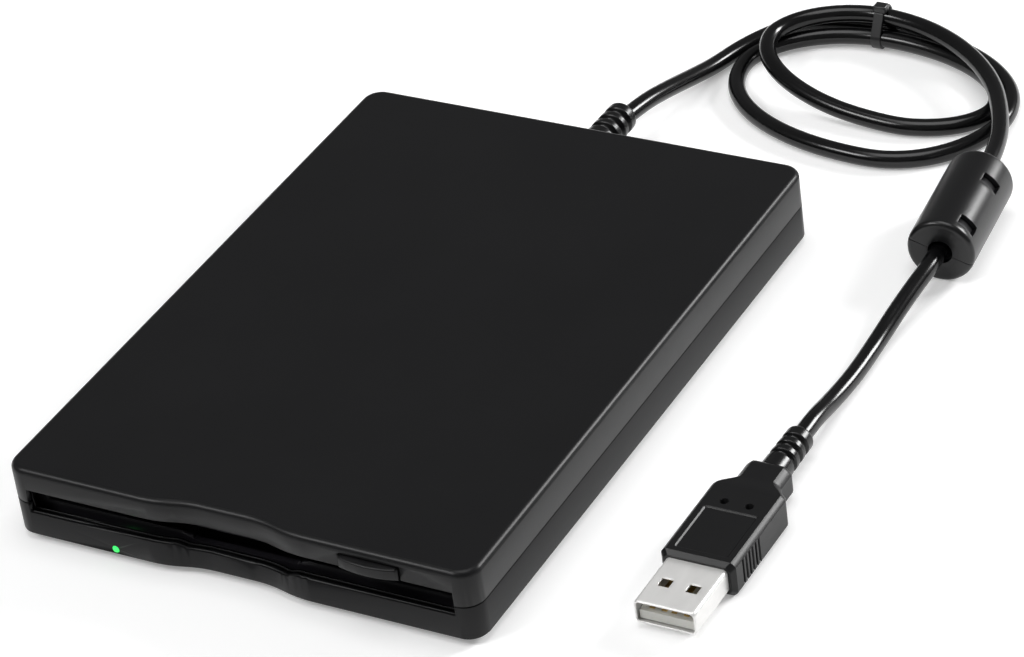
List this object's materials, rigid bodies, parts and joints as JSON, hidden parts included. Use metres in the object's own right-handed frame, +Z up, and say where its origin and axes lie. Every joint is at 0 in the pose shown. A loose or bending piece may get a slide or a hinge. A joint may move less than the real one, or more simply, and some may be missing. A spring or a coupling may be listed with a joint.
{
  "type": "external floppy disk drive",
  "caption": "Slim black external floppy disk drive with a front slot, eject button and light, and a coiled cord with ferrite and plug.",
  "frame": {"origin": "on the surface the feet stand on, under the middle of the drive without its cord", "axes": "+X to the right seen from the front, +Y from the slot to the back wall, +Z up"},
  "size_m": [0.1422, 0.2264, 0.017],
  "materials": {
    "case_black": "finely grained matt moulding",
    "plug_black": "satin moulding",
    "cord_black": "smooth glossy jacket",
    "tie_black": "satin",
    "foot_rubber": "matt",
    "light_pipe": "clear, lit green",
    "ferrite_case": "satin moulding",
    "ferrite_grey": "sintered, matt",
    "zinc_sheet": "zinc plated sheet",
    "steel": "ground",
    "screw_steel": "black passivated",
    "rotor_steel": "turned",
    "motor_can": "drawn can",
    "bearing_brass": "turned",
    "carriage_plastic": "off-white moulding",
    "board_green": "solder resist",
    "chip_black": "moulded",
    "shell_nickel": "nickel plated sheet",
    "tongue_white": "moulded",
    "contact_gold": "gold plated"
  },
  "bodies": {
    "drive": {"board_posts": "case_black", "bottom_cover": "case_black", "cable_tie": "tie_black", "case_screws": "screw_steel", "chassis": "zinc_sheet", "cord_boot": "cord_black", "cord_coil": "cord_black", "cord_drive_run": "cord_black", "cord_plug_run": "cord_black", "ferrite_case_lower": "ferrite_case", "ferrite_case_upper": "ferrite_case", "ferrite_core_lower": "ferrite_grey", "ferrite_core_upper": "ferrite_grey", "guide_rods": "steel", "led_light_pipe": "light_pipe", "main_board": "board_green", "main_board_chips": "chip_black", "mechanism_screws": "screw_steel", "mechanism_top_plate": "zinc_sheet", "plug_boot": "cord_black", "plug_contacts": "contact_gold", "plug_overmould": "plug_black", "plug_shell": "shell_nickel", "plug_tongue": "tongue_white", "rubber_feet": "foot_rubber", "shutter_lever_pin": "steel", "slot_bezel": "case_black", "spindle_bearing": "bearing_brass", "stator_board": "board_green", "stepper_motor": "motor_can", "top_cover": "case_black", "usb_board": "board_green", "usb_board_chips": "chip_black"},
    "eject": {"eject_button": "case_black", "eject_slider": "zinc_sheet"},
    "carrier": {"disk_carrier": "zinc_sheet"},
    "door": {"dust_door": "case_black"},
    "lever": {"shutter_lever": "zinc_sheet"},
    "spindle": {"spindle_rotor": "rotor_steel", "drive_pin": "steel"},
    "screw": {"lead_screw": "steel"},
    "carriage": {"head_carriage": "carriage_plastic", "arm_pin": "steel"},
    "arm": {"upper_head_arm": "carriage_plastic"}
  },
  "joints": [
    {"name": "eject_slide", "type": "slide", "parent": "drive", "child": "eject", "axis": [0, -1, 0], "range_m": [-0.0004, 0.0045]},
    {"name": "carrier_drop", "type": "slide", "parent": "drive", "child": "carrier", "axis": [0, 0, -1], "range_m": [-0.0002, 0.00205]},
    {"name": "dust_door_hinge", "type": "hinge", "parent": "drive", "child": "door", "pos_m": [0, -0.0642, 0.0122], "axis": [1, 0, 0], "range_deg": [0, 86], "stiffness_Nm_per_rad": 0.0001},
    {"name": "shutter_lever_swing", "type": "hinge", "parent": "drive", "child": "lever", "pos_m": [0.031, 0.018, 0.0114], "axis": [0, 0, 1], "range_deg": [-40, 0], "stiffness_Nm_per_rad": 0.0002},
    {"name": "spindle_spin", "type": "hinge", "parent": "drive", "child": "spindle", "pos_m": [0, -0.02, 0.006], "axis": [0, 0, 1], "continuous": true},
    {"name": "lead_screw_spin", "type": "hinge", "parent": "drive", "child": "screw", "pos_m": [0.0145, 0.045, 0.008], "axis": [0, 1, 0], "range_deg": [-2, 1802]},
    {"name": "carriage_slide", "type": "slide", "parent": "drive", "child": "carriage", "axis": [0, -1, 0], "range_m": [0, 0.015]},
    {"name": "head_arm_tilt", "type": "hinge", "parent": "carriage", "child": "arm", "pos_m": [0, 0.051, 0.0109], "axis": [1, 0, 0], "range_deg": [-0.6, 6]}
  ],
  "couplings": [
    {"joint": "carrier_drop", "follows": "eject_slide", "ratio": 0.44444},
    {"joint": "head_arm_tilt", "follows": "eject_slide", "rad_per_m": 22.5},
    {"joint": "lead_screw_spin", "follows": "carriage_slide", "rad_per_m": 2094.4}
  ]
}
